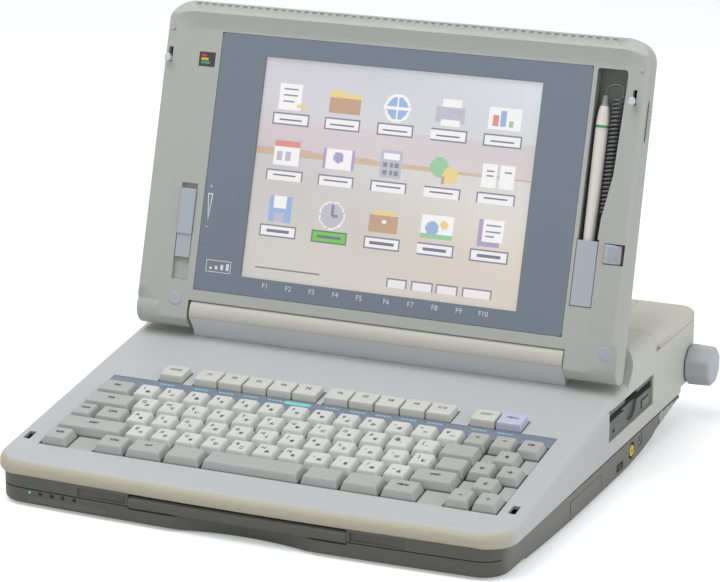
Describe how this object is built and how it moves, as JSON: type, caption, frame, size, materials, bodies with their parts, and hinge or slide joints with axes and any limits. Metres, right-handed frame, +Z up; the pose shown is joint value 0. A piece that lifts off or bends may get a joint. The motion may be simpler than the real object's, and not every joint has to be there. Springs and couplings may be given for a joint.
{
  "type": "electronic word processor",
  "caption": "Portable word processor: a sloping keyboard base with a printer at the back, a side disk drive, and a tilting touch-screen lid with a corded pen.",
  "frame": {"origin": "middle of the bounding box on the desk plane, under the rubber feet", "axes": "+X to the user's right, +Y from the keyboard's front edge to the printer at the back, +Z up"},
  "size_m": [0.3936, 0.3835, 0.2965],
  "materials": {
    "case_grey": "fine matte bluish light grey",
    "lid_grey": "fine matte warm grey",
    "tub_dark": "matte dark warm grey",
    "beige": "matte pale beige",
    "mask_blue": "smooth blue-grey sheet",
    "key_white": "satin off-white",
    "key_grey": "satin grey",
    "dark_plastic": "matte charcoal",
    "glass": "clear touch glass",
    "panel": "pale grey panel",
    "steel": "bare steel",
    "rubber": "black rubber",
    "board": "green board",
    "champagne": "satin champagne",
    "knob_grey": "satin light grey",
    "brass_part": "bright metal",
    "lamp_green": "clear lens",
    "strip_blue": "blue-grey print"
  },
  "bodies": {
    "base": {"lower_case": "tub_dark", "upper_case": "case_grey", "rubber_feet": "rubber", "case_screws": "steel", "status_lamps": "lamp_green", "side_sockets": "brass_part", "key_fillers": "case_grey", "legend_strip": "strip_blue", "dome_sheet": "rubber", "keyboard_plate": "steel", "hinge_cover": "beige", "hinge_brackets": "steel", "hinge_pins": "steel", "main_board": "board", "power_supply": "steel", "speaker": "dark_plastic", "disk_drive": "steel", "disk_bezel": "dark_plastic", "printer_chassis": "steel", "printer_motors": "steel", "guide_rod": "steel", "carriage_belt": "rubber"},
    "handle": {"carry_handle": "tub_dark"},
    "door": {"side_door": "tub_dark"},
    "dial": {"volume_dial": "dark_plastic"},
    "eject": {"eject_button": "dark_plastic"},
    "platen": {"platen_shaft": "steel", "platen_roller": "rubber", "platen_gear": "key_white", "feed_knob": "knob_grey"},
    "pinion": {"feed_pinion": "brass_part"},
    "print_carriage": {"carriage": "dark_plastic", "print_head": "dark_plastic", "ribbon_cassette": "dark_plastic"},
    "cover": {"printer_cover": "beige"},
    "flap": {"paper_flap": "beige"},
    "lid": {"lid_front": "lid_grey", "lid_back": "lid_grey", "hinge_arms": "steel", "screen_mask": "mask_blue", "touch_glass": "glass", "lcd_panel": "panel", "inverter_board": "board", "pen_holder": "lid_grey", "lid_pads": "rubber", "stylus_cord": "dark_plastic"},
    "slider": {"brightness_slider": "key_grey"},
    "power": {"power_slide": "key_grey"},
    "left_latch": {"latch_left": "key_white"},
    "right_latch": {"latch_right": "key_white"},
    "pen": {"stylus": "champagne"},
    "keys_digit_row_caps": {"keys_digit_row": "key_white"},
    "keys_upper_row_caps": {"keys_upper_row": "key_white"},
    "keys_home_row_caps": {"keys_home_row": "key_white"},
    "keys_lower_row_caps": {"keys_lower_row": "key_white"},
    "keys_bottom_row_caps": {"keys_bottom_row": "key_grey"},
    "space_bar_caps": {"space_bar": "key_grey"},
    "edge_keys_caps": {"edge_keys": "key_grey"},
    "function_keys_caps": {"function_keys": "key_white"},
    "arrow_keys_caps": {"arrow_keys": "key_grey"}
  },
  "joints": [
    {"name": "lid_hinge", "type": "hinge", "parent": "base", "child": "lid", "pos_m": [-0.00975, 0.02775, 0.08024], "axis": [1, 0, 0], "range_deg": [-20, 115.35]},
    {"name": "handle_slide", "type": "slide", "parent": "base", "child": "handle", "axis": [0, -1, 0], "range_m": [0, 0.032]},
    {"name": "door_hinge", "type": "hinge", "parent": "base", "child": "door", "pos_m": [0.17725, -0.042, 0.0034], "axis": [0, 1, 0], "range_deg": [0, 90]},
    {"name": "dial_spin", "type": "hinge", "parent": "base", "child": "dial", "pos_m": [0.16885, 0.02625, 0.0092], "axis": [0, 0, 1], "range_deg": [-135, 135]},
    {"name": "eject_press", "type": "slide", "parent": "base", "child": "eject", "axis": [-1, 0, 0], "range_m": [0, 0.0035], "stiffness_N_per_m": 400},
    {"name": "platen_spin", "type": "hinge", "parent": "base", "child": "platen", "pos_m": [-0.00975, 0.17775, 0.0395], "axis": [1, 0, 0], "continuous": true},
    {"name": "pinion_spin", "type": "hinge", "parent": "base", "child": "pinion", "pos_m": [-0.00975, 0.16325, 0.0395], "axis": [1, 0, 0], "continuous": true},
    {"name": "carriage_slide", "type": "slide", "parent": "base", "child": "print_carriage", "axis": [1, 0, 0], "range_m": [-0.11, 0.11]},
    {"name": "cover_hinge", "type": "hinge", "parent": "base", "child": "cover", "pos_m": [-0.00975, 0.19075, 0.071], "axis": [-1, 0, 0], "range_deg": [0, 80]},
    {"name": "flap_hinge", "type": "hinge", "parent": "cover", "child": "flap", "pos_m": [-0.00975, 0.17085, 0.08342], "axis": [-1, 0, 0], "range_deg": [0, 100]},
    {"name": "brightness_slide", "type": "slide", "parent": "lid", "child": "slider", "axis": [0, 0.2874, 0.9578], "range_m": [-0.0155, 0.0036]},
    {"name": "power_switch", "type": "slide", "parent": "lid", "child": "power", "axis": [1, 0, 0], "range_m": [0, 0.0019], "stiffness_N_per_m": 300},
    {"name": "left_latch_slide", "type": "slide", "parent": "lid", "child": "left_latch", "axis": [0, 0.2874, 0.9578], "range_m": [0, 0.0026], "stiffness_N_per_m": 300},
    {"name": "right_latch_slide", "type": "slide", "parent": "lid", "child": "right_latch", "axis": [0, 0.2874, 0.9578], "range_m": [0, 0.0026], "stiffness_N_per_m": 300},
    {"name": "pen_draw", "type": "slide", "parent": "lid", "child": "pen", "axis": [0, 0.2874, 0.9578], "range_m": [0, 0.006], "deforming": ["stylus_cord"]},
    {"name": "digit_row_press", "type": "slide", "parent": "base", "child": "keys_digit_row_caps", "axis": [0, 0.1504, -0.9886], "range_m": [0, 0.003], "stiffness_N_per_m": 2000},
    {"name": "upper_row_press", "type": "slide", "parent": "base", "child": "keys_upper_row_caps", "axis": [0, 0.1504, -0.9886], "range_m": [0, 0.003], "stiffness_N_per_m": 2000},
    {"name": "home_row_press", "type": "slide", "parent": "base", "child": "keys_home_row_caps", "axis": [0, 0.1504, -0.9886], "range_m": [0, 0.003], "stiffness_N_per_m": 2000},
    {"name": "lower_row_press", "type": "slide", "parent": "base", "child": "keys_lower_row_caps", "axis": [0, 0.1504, -0.9886], "range_m": [0, 0.003], "stiffness_N_per_m": 2000},
    {"name": "bottom_row_press", "type": "slide", "parent": "base", "child": "keys_bottom_row_caps", "axis": [0, 0.1504, -0.9886], "range_m": [0, 0.003], "stiffness_N_per_m": 2000},
    {"name": "space_bar_press", "type": "slide", "parent": "base", "child": "space_bar_caps", "axis": [0, 0.1504, -0.9886], "range_m": [0, 0.003], "stiffness_N_per_m": 2000},
    {"name": "edge_press", "type": "slide", "parent": "base", "child": "edge_keys_caps", "axis": [0, 0.1504, -0.9886], "range_m": [0, 0.003], "stiffness_N_per_m": 2500},
    {"name": "function_press", "type": "slide", "parent": "base", "child": "function_keys_caps", "axis": [0, 0.1504, -0.9886], "range_m": [0, 0.003], "stiffness_N_per_m": 2500},
    {"name": "arrow_press", "type": "slide", "parent": "base", "child": "arrow_keys_caps", "axis": [0, 0.1504, -0.9886], "range_m": [0, 0.003], "stiffness_N_per_m": 2000}
  ],
  "couplings": [
    {"joint": "pinion_spin", "follows": "platen_spin", "ratio": -1.4167}
  ]
}
